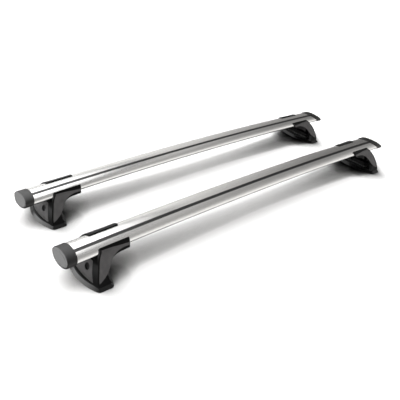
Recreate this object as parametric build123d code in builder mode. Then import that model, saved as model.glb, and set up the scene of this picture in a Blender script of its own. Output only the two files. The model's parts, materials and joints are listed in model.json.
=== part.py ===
"""Pair of roof crossbars: arched aerofoil bars, slanted end caps and lockable clamp feet."""
import os
from math import asin, atan2, cos, degrees, radians, sin, sqrt

from build123d import *

os.makedirs("parts", exist_ok=True)

# Overall layout
BAR_SPACING = 278.0
BAR_STAGGER = 7.5
CREST_HEIGHT = 90.0

# Bar section, a hollow aerofoil
BAR_A = 40.0
BAR_B = 11.4
BAR_WALL = 2.0
CHAMBER_FRONT_EDGE = -20.5
CHAMBER_REAR_EDGE = 12.2
MID_CHAMBER = (24.0, 4.2)
MID_CHAMBER_AT = (-4.0, 0.5)

# Fine grooves along the lower edges of the bar
EDGE_GROOVE_ANGLE = radians(107)
EDGE_GROOVE_R = 0.6

# Arch of the bar
ARCH_HALF = 570.0
ARCH_RISE = 11.5
ARCH_RADIUS = (ARCH_HALF**2 + ARCH_RISE**2) / (2 * ARCH_RISE)
CUT_MARGIN = 30.0
SECTION_Z = CREST_HEIGHT - BAR_B

# Top channel with its rubber strip
STRIP_Y = -9.5
TOP_SLOT = 11.0
TOP_CAVITY = 18.0
TOP_CAVITY_TOP = 8.2
TOP_CAVITY_FLOOR = 4.4
STRIP_PROUD = 0.5
STRIP_GAP = 0.15
STRIP_LIP = 1.4
STRIP_CHAMFER = 0.7
STRIP_RIB_PITCH = 2.5
STRIP_RIB_GROOVE = (0.8, 0.6)

# Lower channel for the clamp nut
LOW_SLOT = 10.5
LOW_CAVITY = 20.0
LOW_CAVITY_TOP = -3.4
LOW_CAVITY_FLOOR = -8.8

# End caps, cut on a slant at both faces
END_SLANT = 0.695
CAP_INNER_X = 555.8
CAP_OUTER_X = 579.4
CAP_WALL = 1.85
CAP_FACE = 3.5
CAP_ROUND = 3.6
CAP_GAP = 0.1
CAP_END_GAP = 0.4
CAP_LINE_INSET = 4.4
CAP_LINE = (0.8, 0.5)
PLUG_LENGTH = 16.0
PLUG_GAP = 0.25

# Foot outline
FOOT_INNER_X = 421.0
FOOT_AXIS_X = 290.0
SADDLE_WALL = 2.8
SADDLE_GAP = 0.1
LIP_FRONT = 32.0
LIP_REAR = 22.0
INNER_END_TOP = 84.0
INNER_END_SLANT = 0.45
FOOT_OUTER = [(539.0, 8.0), (534.5, 26.0), (527.0, 44.0), (517.5, 61.0), (510.0, 70.0), (500.0, 79.0),
              (491.0, 86.0)]
SLOPE = [(39.6, 76.4), (43.8, 73.0), (47.4, 68.0), (53.0, 60.0), (60.5, 48.0), (67.0, 34.0), (72.5, 19.0),
         (76.5, 8.0)]
BODY_INNER = [(493.0, 8.0), (497.5, 19.0), (500.0, 27.0), (495.5, 37.0), (488.5, 47.0), (479.5, 56.0),
              (468.0, 61.5), (452.0, 64.0), (434.0, 65.0)]
COVER_INNER = [(433.0, 69.5), (452.0, 68.5), (466.0, 64.0), (477.5, 56.5), (486.0, 47.0), (493.0, 37.0),
               (503.0, 27.0), (514.0, 19.5), (528.0, 13.5)]
FIN_COVER = 3.0
FIN_EDGE = 4.0
FIT_GAP = 0.1
FOOT_MARGIN = 10.0
FOOT_REACH = FOOT_OUTER[0][0] + 2 * FOOT_MARGIN
FOOT_START = FOOT_INNER_X - 3 * FOOT_MARGIN
TURN_REACH = FOOT_REACH - FOOT_AXIS_X
CAVITY = [(66.0, 11.0), (62.0, 20.0), (57.0, 34.0), (51.0, 46.0), (46.0, 53.5)]
LEG_RIBS_X = (503.0, 513.5)
LEG_RIB_Y = 49.5
LEG_RIB_ROOT = 2.0
SADDLE_RIB_Y = 21.0
SADDLE_RIB_START = 440.0
SADDLE_RIB_BOTTOM = 47.0
RIB = 2.2

# Outer cover
COVER_TOP = 56.6
COVER_TOP_HALF = 37.7
COVER_BOTTOM = 11.6
COVER_BOTTOM_HALF = 59.8
COVER_THICK = 3.0
COVER_STEP_Z = 26.5
COVER_STEP = 0.9
COVER_LAND = 4.5
FRAME_THICK = 3.6

# Lock
LOCK_Y = -26.5
LOCK_Z = 38.5
LOCK_PITCH = 19.0
LOCK_X = 528.3
HOUSING_R = 7.4
HOUSING_FLANGE_R = 8.6
HOUSING_FLANGE = 1.0
HOUSING_LENGTH = 8.4
FACE_DISC_R = 6.3
FACE_DISC = 1.5
FACE_BORE_R = 6.5
CORE_R = 5.6
CORE_GAP = 0.08
CORE_RECESS = 2.2
KEYWAY = (7.0, 1.4, 3.6)
CAM_LENGTH = 23.5
CAM_WIDTH = 8.0
CAM_THICK = 2.5

# Base
BASE_Z = 8.0
FLANGE_TOP = 11.0
PAD_OUTER_X = 550.0
PAD_INNER_X = 476.0
PAD_HALF = 84.0
PAD_END_OUTER_X = 528.0
PAD_END_INNER_X = 492.0
PAD_SIDE = 7.0
FLANGE_INSET = 7.6
BASE_CORNER = 8.0
RIM_ROUND = 1.2

# Clamp to the bar and fixing to the roof
CLAMP_X = 480.0
SADDLE_PLATE = 5.6
SADDLE_PLATE_HALF = 24.0
SADDLE_OUTER_X = 498.0
BOLT_R = 4.0
BOLT_HEAD_R = 6.5
BOLT_HEAD = 8.0
HEX_SOCKET = 6.0
WASHER_R = 10.0
WASHER = 2.0
NUT = (30.0, 18.6, 4.8)
PLATE = (24.0, 96.0, 3.0)
PLATE_X = 508.0
ROOF_HOLE_R = 4.3
ROOF_HOLE_Y = 36.0

ARCH_AXIS = Axis((0, 0, SECTION_Z - ARCH_RADIUS), (0, 1, 0))
INNER_END = Plane(origin=(FOOT_INNER_X, 0, INNER_END_TOP), x_dir=(0, 1, 0), z_dir=(1, 0, INNER_END_SLANT))
UNDER_BODY = [(FOOT_START, BODY_INNER[-1][1]), (FOOT_START, 0), (BODY_INNER[0][0], 0)]
UNDER_COVER = [(FOOT_REACH, COVER_INNER[-1][1]), (FOOT_REACH, 0), (FOOT_START, 0), (FOOT_START, COVER_INNER[0][1])]


def arch_plane(x):
    """Plane of the bar's section at x, with its y direction away from the arch centre."""
    angle = asin(x / ARCH_RADIUS)
    height = SECTION_Z - ARCH_RADIUS * (1 - cos(angle))
    return Plane(origin=(x, 0, height), x_dir=(0, 1, 0), z_dir=(cos(angle), 0, -sin(angle)))


def arch_sweep(start, end):
    """Degrees of the arch between two stations along it."""
    return degrees(asin(end / ARCH_RADIUS) - asin(start / ARCH_RADIUS))


def slant_plane(x, side=1):
    """Slanted cutting plane of a bar end, facing outward; side is 1 or -1."""
    return Plane(origin=(side * x, 0, arch_plane(x).origin.Z), x_dir=(0, 1, 0), z_dir=(side, 0, END_SLANT))


def aerofoil(start, end, grow):
    """Solid aerofoil along the arch, grown by a margin."""
    with BuildPart() as solid:
        with BuildSketch(arch_plane(start)):
            Ellipse(BAR_A + grow, BAR_B + grow)
        revolve(axis=ARCH_AXIS, revolution_arc=arch_sweep(start, end))
    return solid.part


def chambers(shrink):
    """Front and rear hollow chambers of the bar section."""
    reach = BAR_A - BAR_WALL
    with BuildSketch() as hollow:
        Ellipse(reach - shrink, BAR_B - BAR_WALL - shrink)
        with Locations(((CHAMBER_FRONT_EDGE + CHAMBER_REAR_EDGE) / 2, 0)):
            Rectangle(CHAMBER_REAR_EDGE - CHAMBER_FRONT_EDGE + 2 * shrink, 2 * BAR_B, mode=Mode.SUBTRACT)
    return hollow.sketch


# Bar extrusion: arched, hollow, with a channel above and below
with BuildPart() as bar:
    with BuildSketch(arch_plane(-CAP_OUTER_X - CUT_MARGIN)):
        Ellipse(BAR_A, BAR_B)
        add(chambers(0), mode=Mode.SUBTRACT)
        with Locations(MID_CHAMBER_AT):
            Rectangle(*MID_CHAMBER, mode=Mode.SUBTRACT)
        with Locations((STRIP_Y, TOP_CAVITY_FLOOR)):
            Rectangle(TOP_SLOT, BAR_B, align=(Align.CENTER, Align.MIN), mode=Mode.SUBTRACT)
            Rectangle(TOP_CAVITY, TOP_CAVITY_TOP - TOP_CAVITY_FLOOR, align=(Align.CENTER, Align.MIN),
                      mode=Mode.SUBTRACT)
        with Locations((0, LOW_CAVITY_TOP)):
            Rectangle(LOW_SLOT, BAR_B, align=(Align.CENTER, Align.MAX), mode=Mode.SUBTRACT)
            Rectangle(LOW_CAVITY, LOW_CAVITY_TOP - LOW_CAVITY_FLOOR, align=(Align.CENTER, Align.MAX),
                      mode=Mode.SUBTRACT)
        groove_y = BAR_A * sin(EDGE_GROOVE_ANGLE)
        groove_z = BAR_B * cos(EDGE_GROOVE_ANGLE)
        with Locations((-groove_y, groove_z), (groove_y, groove_z)):
            Circle(EDGE_GROOVE_R, mode=Mode.SUBTRACT)
    revolve(axis=ARCH_AXIS, revolution_arc=arch_sweep(-CAP_OUTER_X - CUT_MARGIN, CAP_OUTER_X + CUT_MARGIN))
    split(bisect_by=slant_plane(CAP_OUTER_X - CAP_FACE), keep=Keep.BOTTOM)
    split(bisect_by=slant_plane(CAP_OUTER_X - CAP_FACE, -1), keep=Keep.BOTTOM)

# Ribbed rubber strip that fills the top channel between the end caps
with BuildPart() as strip:
    with BuildSketch(arch_plane(-CAP_OUTER_X - CUT_MARGIN)):
        half = TOP_SLOT / 2 - STRIP_GAP
        base = TOP_CAVITY / 2 - STRIP_GAP
        floor = TOP_CAVITY_FLOOR + STRIP_GAP
        shelf = TOP_CAVITY_TOP - STRIP_GAP - STRIP_LIP
        front_top = BAR_B * sqrt(1 - ((STRIP_Y - half) / BAR_A) ** 2) + STRIP_PROUD
        rear_top = BAR_B * sqrt(1 - ((STRIP_Y + half) / BAR_A) ** 2) + STRIP_PROUD
        with BuildLine():
            Polyline(
                (STRIP_Y - half, front_top - STRIP_CHAMFER), (STRIP_Y - half + STRIP_CHAMFER, front_top),
                (STRIP_Y + half - STRIP_CHAMFER, rear_top), (STRIP_Y + half, rear_top - STRIP_CHAMFER),
                (STRIP_Y + half, shelf + STRIP_LIP), (STRIP_Y + base, shelf), (STRIP_Y + base, floor),
                (STRIP_Y - base, floor), (STRIP_Y - base, shelf), (STRIP_Y - half, shelf + STRIP_LIP), close=True,
            )
        make_face()
        for step in (-1, 0, 1):
            groove_y = STRIP_Y + step * STRIP_RIB_PITCH
            groove_top = front_top + (rear_top - front_top) * (groove_y - STRIP_Y + half) / (2 * half)
            with Locations((groove_y, groove_top - STRIP_RIB_GROOVE[1])):
                Rectangle(STRIP_RIB_GROOVE[0], BAR_B, align=(Align.CENTER, Align.MIN), mode=Mode.SUBTRACT)
    revolve(axis=ARCH_AXIS, revolution_arc=arch_sweep(-CAP_OUTER_X - CUT_MARGIN, CAP_OUTER_X + CUT_MARGIN))
    split(bisect_by=slant_plane(CAP_INNER_X - CAP_END_GAP), keep=Keep.BOTTOM)
    split(bisect_by=slant_plane(CAP_INNER_X - CAP_END_GAP, -1), keep=Keep.BOTTOM)

# End cap: slanted sleeve with a closed face and tongues that plug the bar's chambers
bar_socket = aerofoil(CAP_INNER_X - CUT_MARGIN, CAP_OUTER_X + CUT_MARGIN, CAP_GAP)
socket_cut = bar_socket.split(slant_plane(CAP_OUTER_X - CAP_FACE + CAP_GAP), keep=Keep.BOTTOM)
with BuildPart() as plugs:
    with BuildSketch(arch_plane(CAP_INNER_X - CUT_MARGIN)):
        add(chambers(PLUG_GAP))
    revolve(axis=ARCH_AXIS, revolution_arc=arch_sweep(CAP_INNER_X - CUT_MARGIN, CAP_OUTER_X + CUT_MARGIN))
    split(bisect_by=slant_plane(CAP_OUTER_X - CAP_FACE + 1), keep=Keep.BOTTOM)
    split(bisect_by=slant_plane(CAP_OUTER_X - CAP_FACE - PLUG_LENGTH), keep=Keep.TOP)
with BuildPart() as end_cap:
    with BuildSketch(arch_plane(CAP_INNER_X - CUT_MARGIN)):
        Ellipse(BAR_A + CAP_WALL, BAR_B + CAP_WALL)
    revolve(axis=ARCH_AXIS, revolution_arc=arch_sweep(CAP_INNER_X - CUT_MARGIN, CAP_OUTER_X + CUT_MARGIN))
    split(bisect_by=slant_plane(CAP_OUTER_X), keep=Keep.BOTTOM)
    split(bisect_by=slant_plane(CAP_INNER_X), keep=Keep.TOP)
    fillet(end_cap.faces().sort_by(Axis.X)[-1].edges(), CAP_ROUND)
    add(socket_cut, mode=Mode.SUBTRACT)
    add(plugs.part)
    face_line = (BAR_A + CAP_WALL - CAP_LINE_INSET, (BAR_B + CAP_WALL) * sqrt(1 + END_SLANT**2) - CAP_LINE_INSET)
    with BuildSketch(slant_plane(CAP_OUTER_X)):
        Ellipse(*face_line)
        Ellipse(face_line[0] - CAP_LINE[0], face_line[1] - CAP_LINE[0], mode=Mode.SUBTRACT)
    extrude(amount=-CAP_LINE[1], mode=Mode.SUBTRACT)


def side_profile(shift):
    """Front and rear slopes of the foot in the YZ plane, moved inward by a shift."""
    points = [(y - shift, z) for y, z in SLOPE]
    mirrored = [(-y, z) for y, z in points]
    with BuildSketch() as profile:
        with BuildLine():
            Spline(*mirrored)
            Line(mirrored[-1], points[-1])
            Spline(*reversed(points))
            Line(points[0], mirrored[0])
        make_face()
    return profile.sketch


def turned(inset, bottom=0.0, top=100.0):
    """Convex outer form of the foot turned about an upright axis, set in by an inset."""
    points = [(x - FOOT_AXIS_X - inset, z) for x, z in FOOT_OUTER]
    with BuildPart() as form:
        with BuildSketch(Plane(origin=(FOOT_AXIS_X, 0, 0), x_dir=(1, 0, 0), z_dir=(0, -1, 0))):
            with BuildLine():
                Spline(*points)
                Polyline(points[-1], (0, points[-1][1]), (0, points[0][1]), points[0])
            make_face()
            with Locations((0, bottom)):
                Rectangle(TURN_REACH, top - bottom, align=(Align.MIN, Align.MIN), mode=Mode.INTERSECT)
        revolve(axis=Axis((FOOT_AXIS_X, 0, 0), (0, 0, 1)))
    return form.part


def inner_side(points, corners, margin):
    """Block bounded by a curve and corners in the XZ plane, used to cut a foot's open side."""
    curve = [(x - margin, z - margin) for x, z in points]
    with BuildPart() as block:
        with BuildSketch(Plane.XZ):
            with BuildLine():
                Spline(*curve)
                Polyline(curve[-1], *corners, curve[0])
            make_face()
        extrude(amount=2 * PAD_HALF, both=True)
    return block.part


def cover_outline(margin):
    """Trapezoid outline of the outer cover in the YZ plane."""
    with BuildSketch() as outline:
        with BuildLine():
            Polyline(
                (-COVER_TOP_HALF - margin, COVER_TOP + margin), (-COVER_BOTTOM_HALF - margin, COVER_BOTTOM - margin),
                (COVER_BOTTOM_HALF + margin, COVER_BOTTOM - margin), (COVER_TOP_HALF + margin, COVER_TOP + margin),
                close=True,
            )
        make_face()
        fillet(outline.vertices(), 3.0)
    return outline.sketch


def lens(inset):
    """Plan outline of the base, set in by an inset."""
    with BuildSketch() as outline:
        with BuildLine():
            ThreePointArc((PAD_END_OUTER_X, -PAD_HALF), (PAD_OUTER_X, 0), (PAD_END_OUTER_X, PAD_HALF))
            Line((PAD_END_OUTER_X, PAD_HALF), (PAD_END_INNER_X, PAD_HALF))
            ThreePointArc((PAD_END_INNER_X, PAD_HALF), (PAD_INNER_X, 0), (PAD_END_INNER_X, -PAD_HALF))
            Line((PAD_END_INNER_X, -PAD_HALF), (PAD_END_OUTER_X, -PAD_HALF))
        make_face()
        fillet(outline.vertices(), BASE_CORNER)
        if inset:
            offset(amount=-inset, kind=Kind.INTERSECTION)
    return outline.sketch


# Outer form of a foot: convex outward, sloping forward and back to a wide base
with BuildPart() as foot_form:
    with BuildSketch(Plane.YZ.offset(FOOT_INNER_X)):
        add(side_profile(0))
    extrude(amount=FOOT_REACH - FOOT_INNER_X)
    add(turned(0), mode=Mode.INTERSECT)


def fin_layer(depth, margin, half):
    """Layer under the sloping face of the foot, on one side of the bar: half is -1 in front, 1 behind."""
    with BuildPart() as layer:
        add(foot_form.part)
        with BuildSketch(Plane.YZ.offset(FOOT_START)):
            add(side_profile(depth))
        extrude(amount=FOOT_REACH - FOOT_START, mode=Mode.SUBTRACT)
        add(aerofoil(FOOT_START, FOOT_REACH, SADDLE_WALL + FIT_GAP - margin), mode=Mode.SUBTRACT)
        add(inner_side(COVER_INNER, UNDER_COVER, margin), mode=Mode.SUBTRACT)
        add(turned(FIN_EDGE - margin), mode=Mode.INTERSECT)
        split(bisect_by=INNER_END, keep=Keep.TOP)
        split(bisect_by=Plane.XZ, keep=Keep.TOP if half < 0 else Keep.BOTTOM)
    return layer.part


def lower_band(depth):
    """Layer of the outer face below the cover's step."""
    with BuildPart() as band:
        add(turned(-FIT_GAP, top=COVER_STEP_Z))
        add(turned(depth), mode=Mode.SUBTRACT)
    return band.part


def cover_layer(depth, margin):
    """Curved layer of the outer face inside the cover's outline."""
    with BuildPart() as layer:
        with BuildSketch(Plane.YZ.offset(SADDLE_OUTER_X)):
            add(cover_outline(margin))
        extrude(amount=FOOT_REACH - SADDLE_OUTER_X)
        add(turned(0), mode=Mode.INTERSECT)
        add(turned(depth), mode=Mode.SUBTRACT)
    return layer.part


lock_turn = atan2(LOCK_Y, LOCK_X - FOOT_AXIS_X)
lock_pitch = radians(LOCK_PITCH)
LOCK_AXIS = (cos(lock_pitch) * cos(lock_turn), cos(lock_pitch) * sin(lock_turn), sin(lock_pitch))
lock_plane = Plane(origin=(LOCK_X, LOCK_Y, LOCK_Z), x_dir=(-sin(lock_turn), cos(lock_turn), 0), z_dir=LOCK_AXIS)

# Clamp bolt's plane at the saddle, looking down from the middle of the bar section
arch_at_clamp = arch_plane(CLAMP_X)
clamp_plane = Plane(origin=arch_at_clamp.origin, x_dir=(0, 1, 0), z_dir=tuple(arch_at_clamp.y_dir))


def roof_holes(height):
    """Places of the two roof screw holes of a foot."""
    return [Location((PLATE_X, y, height)) for y in (-ROOF_HOLE_Y, ROOF_HOLE_Y)]


# Front and rear fin covers
front_cover = fin_layer(FIN_COVER, 0, -1)
rear_cover = fin_layer(FIN_COVER, 0, 1)

# Outer cover with the lock seat
with BuildPart() as outer_cover:
    add(cover_layer(COVER_THICK, 0))
    add(lower_band(COVER_STEP), mode=Mode.SUBTRACT)
    with BuildSketch(lock_plane.offset(-HOUSING_LENGTH)):
        Circle(HOUSING_R + FIT_GAP)
    extrude(amount=HOUSING_LENGTH + COVER_THICK, mode=Mode.SUBTRACT)
    with BuildSketch(lock_plane.offset(-HOUSING_FLANGE)):
        Circle(HOUSING_FLANGE_R + FIT_GAP)
    extrude(amount=HOUSING_FLANGE + COVER_THICK, mode=Mode.SUBTRACT)

# Saddle of the foot: a sleeve round the bar, open above between two lips, with a plate for the clamp bolt
with BuildPart() as saddle:
    add(aerofoil(FOOT_INNER_X, FOOT_REACH, SADDLE_WALL))
    with BuildSketch(arch_plane(CLAMP_X)) as plate_section:
        with Locations((0, -BAR_B)):
            Rectangle(2 * SADDLE_PLATE_HALF, SADDLE_PLATE, align=(Align.CENTER, Align.MAX))
    extrude(amount=SADDLE_OUTER_X - CLAMP_X)
    extrude(plate_section.sketch, amount=FOOT_INNER_X - CLAMP_X)
    with BuildSketch(arch_plane(FOOT_START)):
        with Locations(((LIP_REAR - LIP_FRONT) / 2, 0)):
            Rectangle(LIP_REAR + LIP_FRONT, 2 * BAR_A, align=(Align.CENTER, Align.MIN))
    extrude(amount=FOOT_REACH - FOOT_START, mode=Mode.SUBTRACT)

# Hollow between the two legs, closed outward by the frame behind the outer cover
with BuildPart() as hollow:
    with BuildSketch(Plane.YZ.offset(FOOT_START)):
        with BuildLine():
            Polyline(*CAVITY, *[(-y, z) for y, z in reversed(CAVITY)], close=True)
        make_face()
    extrude(amount=FOOT_REACH - FOOT_START)
    add(turned(COVER_THICK + FRAME_THICK), mode=Mode.INTERSECT)

# Flange of the foot with a rounded upper edge
with BuildPart() as flange:
    with BuildSketch(Plane.XY.offset(BASE_Z)):
        add(lens(FLANGE_INSET))
    extrude(amount=FLANGE_TOP - BASE_Z)
    fillet(flange.faces().sort_by(Axis.Z)[-1].edges(), RIM_ROUND)

# Foot body: saddle round the bar, two legs, an open middle with ribs, and the flange
with BuildPart() as foot_body:
    with BuildSketch(Plane.YZ.offset(FOOT_INNER_X)):
        add(side_profile(0))
    extrude(amount=FOOT_REACH - FOOT_INNER_X)
    add(inner_side(BODY_INNER, UNDER_BODY, 0), mode=Mode.SUBTRACT)
    add(saddle.part)
    add(turned(0), mode=Mode.INTERSECT)
    split(bisect_by=INNER_END, keep=Keep.TOP)
    add(hollow.part, mode=Mode.SUBTRACT)
    with BuildSketch(Plane.YZ.offset(SADDLE_OUTER_X)):
        add(cover_outline(-COVER_LAND))
    extrude(amount=FOOT_REACH - SADDLE_OUTER_X, mode=Mode.SUBTRACT)
    add(flange.part)
    for x in LEG_RIBS_X:
        for side in (-1, 1):
            root = [(side * (y + LEG_RIB_ROOT), z) for y, z in CAVITY[:-1]]
            with BuildSketch(Plane.YZ.offset(x)):
                with BuildLine():
                    Polyline((side * LEG_RIB_Y, root[0][1]), *root, (side * LEG_RIB_Y, root[-1][1]), close=True)
                make_face()
            extrude(amount=RIB)
    for y in (-SADDLE_RIB_Y, SADDLE_RIB_Y):
        with Locations((SADDLE_RIB_START, y, SADDLE_RIB_BOTTOM)):
            Box(SADDLE_OUTER_X - SADDLE_RIB_START, RIB, CAVITY[-1][1] - SADDLE_RIB_BOTTOM + RIB,
                align=(Align.MIN, Align.CENTER, Align.MIN))
    add(aerofoil(FOOT_START, FOOT_REACH, SADDLE_GAP), mode=Mode.SUBTRACT)
    add(fin_layer(FIN_COVER + FIT_GAP, FIT_GAP, -1), mode=Mode.SUBTRACT)
    add(fin_layer(FIN_COVER + FIT_GAP, FIT_GAP, 1), mode=Mode.SUBTRACT)
    add(cover_layer(COVER_THICK + FIT_GAP, FIT_GAP), mode=Mode.SUBTRACT)
    with Locations(clamp_plane):
        Hole(BOLT_R + 0.3, depth=2 * BAR_A)
    with Locations(*roof_holes(FLANGE_TOP)):
        Hole(ROOF_HOLE_R)

# Rubber base pad with a sloping rim
with BuildPart() as base_pad:
    with BuildSketch(Plane.XY):
        add(lens(0))
    extrude(amount=BASE_Z, taper=degrees(atan2(PAD_SIDE, BASE_Z)))
    with Locations(*roof_holes(BASE_Z)):
        Hole(ROOF_HOLE_R)

# Steel plate that spreads the load of the roof screws
with BuildPart() as mounting_plate:
    with BuildSketch(Plane.XY.offset(FLANGE_TOP)):
        with Locations((PLATE_X, 0)):
            RectangleRounded(PLATE[0], PLATE[1], 4)
    extrude(amount=PLATE[2])
    with Locations(*roof_holes(FLANGE_TOP + PLATE[2])):
        Hole(ROOF_HOLE_R)

# Clamp bolt with a hex socket, its washer and the nut that slides in the lower channel
seat = -BAR_B - SADDLE_PLATE
nut_bottom = LOW_CAVITY_FLOOR + 0.1
with BuildPart() as clamp_bolt:
    with BuildSketch(clamp_plane.offset(seat - WASHER - BOLT_HEAD)):
        Circle(BOLT_HEAD_R)
    extrude(amount=BOLT_HEAD)
    with BuildSketch(clamp_plane.offset(seat - WASHER)):
        Circle(BOLT_R)
    extrude(amount=WASHER - seat + nut_bottom + NUT[2])
    with BuildSketch(clamp_plane.offset(seat - WASHER - BOLT_HEAD)):
        RegularPolygon(HEX_SOCKET / 2, 6, major_radius=False)
    extrude(amount=BOLT_HEAD / 2, mode=Mode.SUBTRACT)
with BuildPart() as clamp_washer:
    with BuildSketch(clamp_plane.offset(seat - WASHER)):
        Circle(WASHER_R)
        Circle(BOLT_R + 0.3, mode=Mode.SUBTRACT)
    extrude(amount=WASHER)
with BuildPart() as channel_nut:
    with BuildSketch(clamp_plane.offset(nut_bottom)):
        Rectangle(NUT[1], NUT[0])
        Circle(BOLT_R + 0.05, mode=Mode.SUBTRACT)
    extrude(amount=NUT[2])

# Lock housing fixed in the cover and the core that turns in it with its cam
with BuildPart() as lock_housing:
    with BuildSketch(lock_plane.offset(-HOUSING_LENGTH)):
        Circle(HOUSING_R)
    extrude(amount=HOUSING_LENGTH)
    with BuildSketch(lock_plane.offset(-HOUSING_FLANGE)):
        Circle(HOUSING_FLANGE_R)
    extrude(amount=HOUSING_FLANGE)
    with BuildSketch(lock_plane):
        Circle(CORE_R + CORE_GAP)
    extrude(amount=-HOUSING_LENGTH, mode=Mode.SUBTRACT)
    with BuildSketch(lock_plane):
        Circle(FACE_BORE_R)
    extrude(amount=-CORE_RECESS - FACE_DISC - 0.1, mode=Mode.SUBTRACT)
with BuildPart() as lock_core:
    with BuildSketch(lock_plane.offset(-CORE_RECESS)):
        Circle(FACE_DISC_R)
    extrude(amount=-FACE_DISC)
    with BuildSketch(lock_plane.offset(-CORE_RECESS)):
        Circle(CORE_R)
    extrude(amount=CORE_RECESS - HOUSING_LENGTH - 0.3)
    with BuildSketch(lock_plane.offset(-HOUSING_LENGTH - 0.3)):
        with Locations((0, CAM_WIDTH / 2)):
            SlotOverall(CAM_LENGTH + CAM_WIDTH / 2, CAM_WIDTH, rotation=90, align=(Align.MAX, Align.CENTER))
    extrude(amount=-CAM_THICK)
    with BuildSketch(lock_plane.offset(-CORE_RECESS)):
        Rectangle(KEYWAY[1], KEYWAY[0])
    extrude(amount=-KEYWAY[2], mode=Mode.SUBTRACT)

# Every piece of the right foot of one bar, then its copies at the four corners
foot_pieces = {
    "foot_body": foot_body.part,
    "front_fin_cover": front_cover,
    "rear_fin_cover": rear_cover,
    "outer_cover": outer_cover.part,
    "lock_housing": lock_housing.part,
    "lock_core": lock_core.part,
    "base_pad": base_pad.part,
    "mounting_plate": mounting_plate.part,
    "clamp_bolt": clamp_bolt.part,
    "clamp_washer": clamp_washer.part,
    "channel_nut": channel_nut.part,
    "end_cap": end_cap.part,
}
rows = {
    "front": Location((-BAR_STAGGER / 2, -BAR_SPACING / 2, 0)),
    "rear": Location((BAR_STAGGER / 2, BAR_SPACING / 2, 0)),
}
for row, place in rows.items():
    for label, piece in (("bar", bar.part), ("bar_strip", strip.part)):
        node = piece.moved(place)
        node.label = f"{row}_{label}"
        export_step(node, f"parts/{node.label}.step")
    for side in ("left", "right"):
        for label, piece in foot_pieces.items():
            copy = piece if side == "right" else mirror(piece, about=Plane.YZ)
            node = copy.moved(place)
            node.label = f"{row}_{side}_{label}"
            export_step(node, f"parts/{node.label}.step")
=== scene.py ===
"""Looks of the pair of roof crossbars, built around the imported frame. Lengths are in metres."""
import json
import math

import bpy
from mathutils import Matrix, Vector

# Camera of the photograph
CAMERA_PLACE = Vector((-0.83105, -0.92405, 0.72270))
CAMERA_YAW = math.radians(39.044)
CAMERA_PITCH = math.radians(32.223)
CAMERA_ROLL = math.radians(3.466)
FOCAL_PIXELS = 453.62
FRAME_PIXELS = 400
SENSOR = 36.0
CLIP_START = 0.01
CLIP_END = 50.0

# Floor: brightness as lit, as the camera sees it, and as metal mirrors it
FLOOR_SIZE = 14.0
FLOOR_COLOR = 0.50
FLOOR_SEEN = 1.0
FLOOR_MIRRORED = 0.60

# Soft painted shade on the floor from ambient occlusion, steeper towards the right, which ends beyond the
# feet, where painted light makes the floor whiter
SHADE_REACH = 0.070
SHADE_POWER = 4.0
SHADE_RISE = 5.0
SHADE_RISE_FROM = -0.40
SHADE_RISE_TO = 0.40
SHADE_FULL = 0.49
SHADE_NONE = 0.58
EDGE_PAINTED_LIGHT = 0.18

# Studio panels: where each starts and is full, as the y or x of a direction of length 1
STUDIO_TINT = (1.0, 0.99, 0.975, 1.0)
WHITE = (1.0, 1.0, 1.0, 1.0)
CEILING = 0.08
FRONT_PANEL = 1.07
FRONT_SLANT = 0.35
FRONT_PIVOT = 0.27
FRONT_START = 0.396
FRONT_END = -0.765
BACK_PANEL = 1.13
BACK_START_Y = -0.165
BACK_END_Y = 1.0
BACK_START_X = 0.941
BACK_END_X = 0.251

# Round softboxes: half angles of full light and of no light are in degrees
BOX_DISTANCE = 5.0
BOX_SIDES = 48
LEFT_BOX = {"axis": (-0.88, 0.45, 0.12), "full": 10.0, "none": 36.0, "strength": 8.0}
HIGH_BOX = {"axis": (-0.15, 0.75, 0.65), "full": 14.0, "none": 34.0, "strength": 2.6}
TOP_BOX = {"axis": (0.0, 0.21, 1.0), "full": 8.0, "none": 40.0, "strength": 3.9}

# Painted shade in and beside the edge grooves of the bars: place in the bar's section, and distances of
# full and of no painted shade
ROW_Y = 0.139
ARCH_RADIUS = 14.132
GROOVE_Y = 0.03825
GROOVE_Z = 0.07527
GROOVE_INNER = 0.0028
GROOVE_OUTER = 0.0040
# Colour of the painted shade in the edge grooves
GROOVE_PAINTED_SHADE_COLOR = (0.03, 0.03, 0.03, 1.0)

# Range that a noise texture mostly stays in
NOISE_LOW = 0.3
NOISE_HIGH = 0.7

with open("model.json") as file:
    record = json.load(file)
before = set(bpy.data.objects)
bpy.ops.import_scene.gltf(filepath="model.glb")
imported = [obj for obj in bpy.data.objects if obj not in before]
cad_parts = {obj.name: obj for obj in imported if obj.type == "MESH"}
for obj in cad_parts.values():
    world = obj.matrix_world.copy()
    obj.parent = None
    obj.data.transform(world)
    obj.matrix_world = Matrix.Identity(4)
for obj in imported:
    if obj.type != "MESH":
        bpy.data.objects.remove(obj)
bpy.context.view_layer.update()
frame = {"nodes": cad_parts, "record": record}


def emptied(owner):
    """Empties the nodes of a material or world and returns its tree."""
    owner.use_nodes = True
    owner.node_tree.nodes.clear()
    return owner.node_tree


def surface(tree, result, output="ShaderNodeOutputMaterial"):
    """Makes a shader socket the surface of a material or world."""
    tree.links.new(result, tree.nodes.new(output).inputs["Surface"])


def principled(name):
    """New material of one Principled shader; returns the material, its tree and the shader."""
    material = bpy.data.materials.new(name)
    tree = emptied(material)
    shader = tree.nodes.new("ShaderNodeBsdfPrincipled")
    surface(tree, shader.outputs["BSDF"])
    return material, tree, shader


def components(tree, vector):
    """X, Y and Z sockets of a vector socket."""
    apart = tree.nodes.new("ShaderNodeSeparateXYZ")
    tree.links.new(vector, apart.inputs["Vector"])
    return [apart.outputs[axis] for axis in "XYZ"]


def combined(tree, operation, first, second):
    """Two value sockets or numbers put together by a math operation."""
    node = tree.nodes.new("ShaderNodeMath")
    node.operation = operation
    for socket, value in zip(node.inputs, (first, second)):
        if isinstance(value, float):
            socket.default_value = value
        else:
            tree.links.new(value, socket)
    return node.outputs["Value"]


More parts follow.
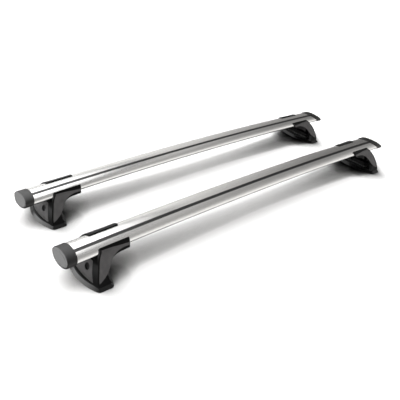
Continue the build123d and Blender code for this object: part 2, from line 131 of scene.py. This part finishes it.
def mapped(tree, value, start, end, low, high, kind="LINEAR"):
    """Value socket brought from start..end to low..high, and kept inside."""
    ranges = tree.nodes.new("ShaderNodeMapRange")
    ranges.interpolation_type = kind
    ranges.inputs["From Min"].default_value = start
    ranges.inputs["From Max"].default_value = end
    ranges.inputs["To Min"].default_value = low
    ranges.inputs["To Max"].default_value = high
    tree.links.new(value, ranges.inputs["Value"])
    return ranges.outputs["Result"]


def ramp(tree, value, start, end, strength):
    """Smooth step of a value from 0 at start to a strength at end."""
    return mapped(tree, value, start, end, 0.0, strength, "SMOOTHSTEP")


def noise(tree, scale, stretch=(1.0, 1.0, 1.0), detail=3.0):
    """Noise in object space, stretched along the axes; returns its value socket."""
    place = tree.nodes.new("ShaderNodeTexCoord")
    mapping = tree.nodes.new("ShaderNodeMapping")
    mapping.inputs["Scale"].default_value = stretch
    texture = tree.nodes.new("ShaderNodeTexNoise")
    texture.inputs["Scale"].default_value = scale
    texture.inputs["Detail"].default_value = detail
    tree.links.new(place.outputs["Object"], mapping.inputs["Vector"])
    tree.links.new(mapping.outputs["Vector"], texture.inputs["Vector"])
    return texture.outputs["Fac"]


def spread(tree, value, low, high):
    """Maps a noise value to a range and returns the result socket."""
    return mapped(tree, value, NOISE_LOW, NOISE_HIGH, low, high)


def tint(tree, value, dark, light):
    """Mixes two colours by a noise value and returns the colour socket."""
    mix = tree.nodes.new("ShaderNodeMix")
    mix.data_type = "RGBA"
    mix.inputs["A"].default_value = (*dark, 1.0)
    mix.inputs["B"].default_value = (*light, 1.0)
    tree.links.new(spread(tree, value, 0.0, 1.0), mix.inputs["Factor"])
    return mix.outputs["Result"]


def bump(tree, shader, value, depth, strength):
    """Adds a bump of the given depth to the shader."""
    node = tree.nodes.new("ShaderNodeBump")
    node.inputs["Strength"].default_value = strength
    node.inputs["Distance"].default_value = depth
    tree.links.new(value, node.inputs["Height"])
    tree.links.new(node.outputs["Normal"], shader.inputs["Normal"])


def groove_shadow(tree):
    """Painted shade in and beside the fine grooves along the lower edges of both bars: 1 there, 0
    elsewhere.
    """
    place = tree.nodes.new("ShaderNodeTexCoord")
    x, y, z = components(tree, place.outputs["Object"])
    from_row = combined(tree, "SUBTRACT", combined(tree, "ABSOLUTE", y, 0.0), ROW_Y)
    across = combined(tree, "SUBTRACT", combined(tree, "ABSOLUTE", from_row, 0.0), GROOVE_Y)
    # The arch comes down by x squared over twice its radius
    drop = combined(tree, "MULTIPLY", combined(tree, "MULTIPLY", x, x), 0.5 / ARCH_RADIUS)
    above = combined(tree, "SUBTRACT", combined(tree, "ADD", z, drop), GROOVE_Z)
    across_squared = combined(tree, "MULTIPLY", across, across)
    above_squared = combined(tree, "MULTIPLY", above, above)
    far = combined(tree, "SQRT", combined(tree, "ADD", across_squared, above_squared), 0.0)
    return ramp(tree, far, GROOVE_OUTER, GROOVE_INNER, 1.0)


def anodised_aluminium():
    """Satin anodised aluminium with faint lengthwise die lines and painted shade along the edge grooves."""
    material, tree, shader = principled("anodised_aluminium")
    lines = noise(tree, scale=900.0, stretch=(0.004, 1.0, 1.0), detail=2.0)
    cloud = noise(tree, scale=14.0, stretch=(0.3, 1.0, 1.0))
    tone = tint(tree, cloud, dark=(0.770, 0.762, 0.750), light=(0.815, 0.808, 0.796))
    # Painted shade: the base colour goes dark in and beside the edge grooves
    painted_groove_shade = tree.nodes.new("ShaderNodeMix")
    painted_groove_shade.data_type = "RGBA"
    painted_groove_shade.inputs["B"].default_value = GROOVE_PAINTED_SHADE_COLOR
    tree.links.new(groove_shadow(tree), painted_groove_shade.inputs["Factor"])
    tree.links.new(tone, painted_groove_shade.inputs["A"])
    tree.links.new(painted_groove_shade.outputs["Result"], shader.inputs["Base Color"])
    tree.links.new(spread(tree, lines, 0.20, 0.27), shader.inputs["Roughness"])
    shader.inputs["Metallic"].default_value = 1.0
    bump(tree, shader, lines, depth=0.00002, strength=0.5)
    return material


def mottled_metal(name, dark, light, rough, scale):
    """Bare metal with a slight mottle."""
    material, tree, shader = principled(name)
    cloud = noise(tree, scale)
    tree.links.new(tint(tree, cloud, dark, light), shader.inputs["Base Color"])
    tree.links.new(spread(tree, cloud, *rough), shader.inputs["Roughness"])
    shader.inputs["Metallic"].default_value = 1.0
    return material


def moulded_plastic(name, dark, light, rough, grain, depth, specular=0.5):
    """Moulded plastic or rubber with a fine grain and a faint colour variation."""
    material, tree, shader = principled(name)
    fine = noise(tree, scale=grain, detail=4.0)
    cloud = noise(tree, scale=60.0)
    tree.links.new(tint(tree, cloud, dark, light), shader.inputs["Base Color"])
    tree.links.new(spread(tree, fine, *rough), shader.inputs["Roughness"])
    shader.inputs["Specular IOR Level"].default_value = specular
    bump(tree, shader, fine, depth, strength=0.6)
    return material


def grey(level):
    """Neutral colour of one level."""
    return (level, level, level)


MATERIALS = {
    "bar_aluminium": anodised_aluminium(),
    "strip_rubber": moulded_plastic(
        "ribbed_rubber", dark=grey(0.006), light=grey(0.009),
        rough=(0.28, 0.38), grain=2500.0, depth=0.00004, specular=0.8,
    ),
    "body_plastic": moulded_plastic(
        "black_plastic", dark=grey(0.002), light=grey(0.003),
        rough=(0.26, 0.38), grain=2200.0, depth=0.00003, specular=0.08,
    ),
    "cover_plastic": moulded_plastic(
        "grained_cover", dark=(0.080, 0.077, 0.078), light=(0.104, 0.101, 0.102),
        rough=(0.42, 0.60), grain=1500.0, depth=0.00006, specular=0.25,
    ),
    "cap_plastic": moulded_plastic(
        "cap_plastic", dark=(0.006, 0.0056, 0.0053), light=(0.010, 0.0095, 0.009),
        rough=(0.30, 0.40), grain=1800.0, depth=0.00003, specular=0.45,
    ),
    "lock_plastic": moulded_plastic(
        "lock_plastic", dark=grey(0.002), light=grey(0.003),
        rough=(0.15, 0.25), grain=1500.0, depth=0.00002, specular=0.15,
    ),
    "lock_metal": mottled_metal(
        "lock_metal", dark=grey(0.008), light=grey(0.014), rough=(0.30, 0.45), scale=700.0,
    ),
    "pad_rubber": moulded_plastic(
        "pad_rubber", dark=grey(0.002), light=grey(0.004),
        rough=(0.16, 0.24), grain=1600.0, depth=0.00003, specular=0.18,
    ),
    "plate_steel": moulded_plastic(
        "coated_steel", dark=grey(0.018), light=grey(0.026), rough=(0.30, 0.45), grain=900.0, depth=0.00003,
    ),
    "fastener_steel": mottled_metal(
        "plated_steel", dark=(0.50, 0.50, 0.49), light=(0.62, 0.62, 0.60), rough=(0.26, 0.40), scale=250.0,
    ),
}


def dress_nodes():
    """Gives every CAD node the material of its slot."""
    slots = {part["node"]: part["material_slot"] for part in frame["record"]["subparts"]}
    for name, piece in frame["nodes"].items():
        for place in piece.material_slots:
            place.material = MATERIALS[slots[name]]


def by_camera(tree, unseen, seen):
    """Shader socket that is one shader for camera rays and another for all other rays."""
    path = tree.nodes.new("ShaderNodeLightPath")
    mix = tree.nodes.new("ShaderNodeMixShader")
    tree.links.new(path.outputs["Is Camera Ray"], mix.inputs["Fac"])
    tree.links.new(unseen, mix.inputs[1])
    tree.links.new(seen, mix.inputs[2])
    return mix.outputs["Shader"]


def flat_sheet(name, corners, material):
    """Object of one flat face."""
    mesh = bpy.data.meshes.new(name)
    mesh.from_pydata(corners, [], [tuple(range(len(corners)))])
    mesh.materials.append(material)
    sheet = bpy.data.objects.new(name, mesh)
    bpy.context.scene.collection.objects.link(sheet)
    return sheet


def shaded_white(tree):
    """Floor colour for the camera: white, with painted shade near the object, and painted light that makes
    it full white beyond the feet.
    """
    shade = tree.nodes.new("ShaderNodeAmbientOcclusion")
    shade.inputs["Distance"].default_value = SHADE_REACH
    x = components(tree, tree.nodes.new("ShaderNodeNewGeometry").outputs["Position"])[0]
    along = combined(tree, "ABSOLUTE", x, 0.0)
    rise = ramp(tree, x, SHADE_RISE_FROM, SHADE_RISE_TO, SHADE_RISE)
    inside = ramp(tree, along, SHADE_NONE, SHADE_FULL, 1.0)
    power = combined(tree, "MULTIPLY", combined(tree, "ADD", rise, SHADE_POWER), inside)
    # Painted shade: ambient occlusion raised to a power darkens the floor colour
    painted_shade = combined(tree, "POWER", shade.outputs["AO"], power)
    # Painted light: the floor colour rises above white beyond the feet
    painted_light = ramp(tree, along, SHADE_FULL, SHADE_NONE, FLOOR_SEEN * EDGE_PAINTED_LIGHT)
    return combined(tree, "MULTIPLY", painted_shade, combined(tree, "ADD", painted_light, FLOOR_SEEN))


def floor_material():
    """Matt pale floor: white to the camera with painted shade, and a little paler in reflections than for
    the light.
    """
    material = bpy.data.materials.new("pale_floor")
    tree = emptied(material)
    path = tree.nodes.new("ShaderNodeLightPath")
    mirrored = combined(tree, "MULTIPLY", path.outputs["Is Glossy Ray"], FLOOR_MIRRORED - FLOOR_COLOR)
    plain = tree.nodes.new("ShaderNodeBsdfDiffuse")
    tree.links.new(combined(tree, "ADD", mirrored, FLOOR_COLOR), plain.inputs["Color"])
    seen = tree.nodes.new("ShaderNodeBsdfDiffuse")
    tree.links.new(shaded_white(tree), seen.inputs["Color"])
    surface(tree, by_camera(tree, plain.outputs["BSDF"], seen.outputs["BSDF"]))
    return material


def build_floor():
    """Square floor under the object."""
    half = FLOOR_SIZE / 2
    corners = [(-half, -half, 0), (half, -half, 0), (half, half, 0), (-half, half, 0)]
    floor = flat_sheet("floor", corners, floor_material())
    return floor


def build_world():
    """Studio surround: a long slanted panel in front, and one behind that fades to the right."""
    world = bpy.data.worlds.new("studio")
    bpy.context.scene.world = world
    tree = emptied(world)
    x, y, _ = components(tree, tree.nodes.new("ShaderNodeTexCoord").outputs["Generated"])
    slanted = combined(tree, "SUBTRACT", y, combined(tree, "MULTIPLY", x, FRONT_SLANT))
    shift = FRONT_SLANT * FRONT_PIVOT
    front = ramp(tree, slanted, FRONT_START - shift, FRONT_END - shift, FRONT_PANEL)
    behind = ramp(tree, y, BACK_START_Y, BACK_END_Y, BACK_PANEL)
    fade = ramp(tree, x, BACK_START_X, BACK_END_X, 1.0)
    back = combined(tree, "MULTIPLY", behind, fade)
    light = combined(tree, "ADD", combined(tree, "ADD", front, back), CEILING)
    studio = tree.nodes.new("ShaderNodeBackground")
    studio.inputs["Color"].default_value = STUDIO_TINT
    tree.links.new(light, studio.inputs["Strength"])
    white = tree.nodes.new("ShaderNodeBackground")
    white.inputs["Color"].default_value = WHITE
    white.inputs["Strength"].default_value = 1.0
    seen = by_camera(tree, studio.outputs["Background"], white.outputs["Background"])
    surface(tree, seen, "ShaderNodeOutputWorld")


def box_material(name, axis, full, none, strength):
    """Light that is full near an axis and fades to nothing; full and none are half angles in radians."""
    material = bpy.data.materials.new(name)
    tree = emptied(material)
    direction = tree.nodes.new("ShaderNodeVectorMath")
    direction.operation = "NORMALIZE"
    tree.links.new(tree.nodes.new("ShaderNodeNewGeometry").outputs["Position"], direction.inputs[0])
    nearness = tree.nodes.new("ShaderNodeVectorMath")
    nearness.operation = "DOT_PRODUCT"
    nearness.inputs[1].default_value = axis
    tree.links.new(direction.outputs["Vector"], nearness.inputs[0])
    glow = tree.nodes.new("ShaderNodeEmission")
    level = ramp(tree, nearness.outputs["Value"], math.cos(none), math.cos(full), strength)
    tree.links.new(level, glow.inputs["Strength"])
    surface(tree, glow.outputs["Emission"])
    return material


def build_box(name, form, diffuse):
    """Round softbox about an axis; it lights either the matt surfaces or the reflections."""
    axis = Vector(form["axis"]).normalized()
    turn = axis.to_track_quat("Z", "Y").to_matrix()
    full = math.radians(form["full"])
    none = math.radians(form["none"])
    radius = BOX_DISTANCE * math.tan(none)
    steps = [2 * math.pi * i / BOX_SIDES for i in range(BOX_SIDES)]
    rim = [turn @ Vector((radius * math.cos(a), radius * math.sin(a), BOX_DISTANCE)) for a in steps]
    box = flat_sheet(name, rim, box_material(name, axis, full, none, form["strength"]))
    box.visible_camera = False
    box.visible_shadow = False
    box.visible_diffuse = diffuse
    box.visible_glossy = not diffuse
    return box


def build_camera():
    """Camera at the photograph's place, with its turn, tilt and roll."""
    ahead = Vector((
        math.sin(CAMERA_YAW) * math.cos(CAMERA_PITCH),
        math.cos(CAMERA_YAW) * math.cos(CAMERA_PITCH),
        -math.sin(CAMERA_PITCH),
    ))
    level = Vector((math.cos(CAMERA_YAW), -math.sin(CAMERA_YAW), 0.0))
    above = level.cross(ahead)
    right = math.cos(CAMERA_ROLL) * level + math.sin(CAMERA_ROLL) * above
    up = math.cos(CAMERA_ROLL) * above - math.sin(CAMERA_ROLL) * level
    lens = bpy.data.cameras.new("camera")
    lens.sensor_fit = "HORIZONTAL"
    lens.sensor_width = SENSOR
    lens.lens = FOCAL_PIXELS / FRAME_PIXELS * SENSOR
    lens.clip_start = CLIP_START
    lens.clip_end = CLIP_END
    camera = bpy.data.objects.new("camera", lens)
    bpy.context.scene.collection.objects.link(camera)
    turn = Matrix((right, up, -ahead)).transposed().to_4x4()
    camera.matrix_world = Matrix.Translation(CAMERA_PLACE) @ turn
    bpy.context.scene.camera = camera


def light_only(box, receiver):
    """Links a softbox's light to one object alone."""
    linked = bpy.data.collections.new(f"{receiver.name}_only")
    linked.objects.link(receiver)
    box.light_linking.receiver_collection = linked


bpy.context.scene.view_settings.view_transform = "Standard"
build_camera()
dress_nodes()
floor = build_floor()
build_world()
build_box("left_softbox", LEFT_BOX, diffuse=False)
build_box("high_softbox", HIGH_BOX, diffuse=False)
top_softbox = build_box("top_softbox", TOP_BOX, diffuse=True)
light_only(top_softbox, floor)
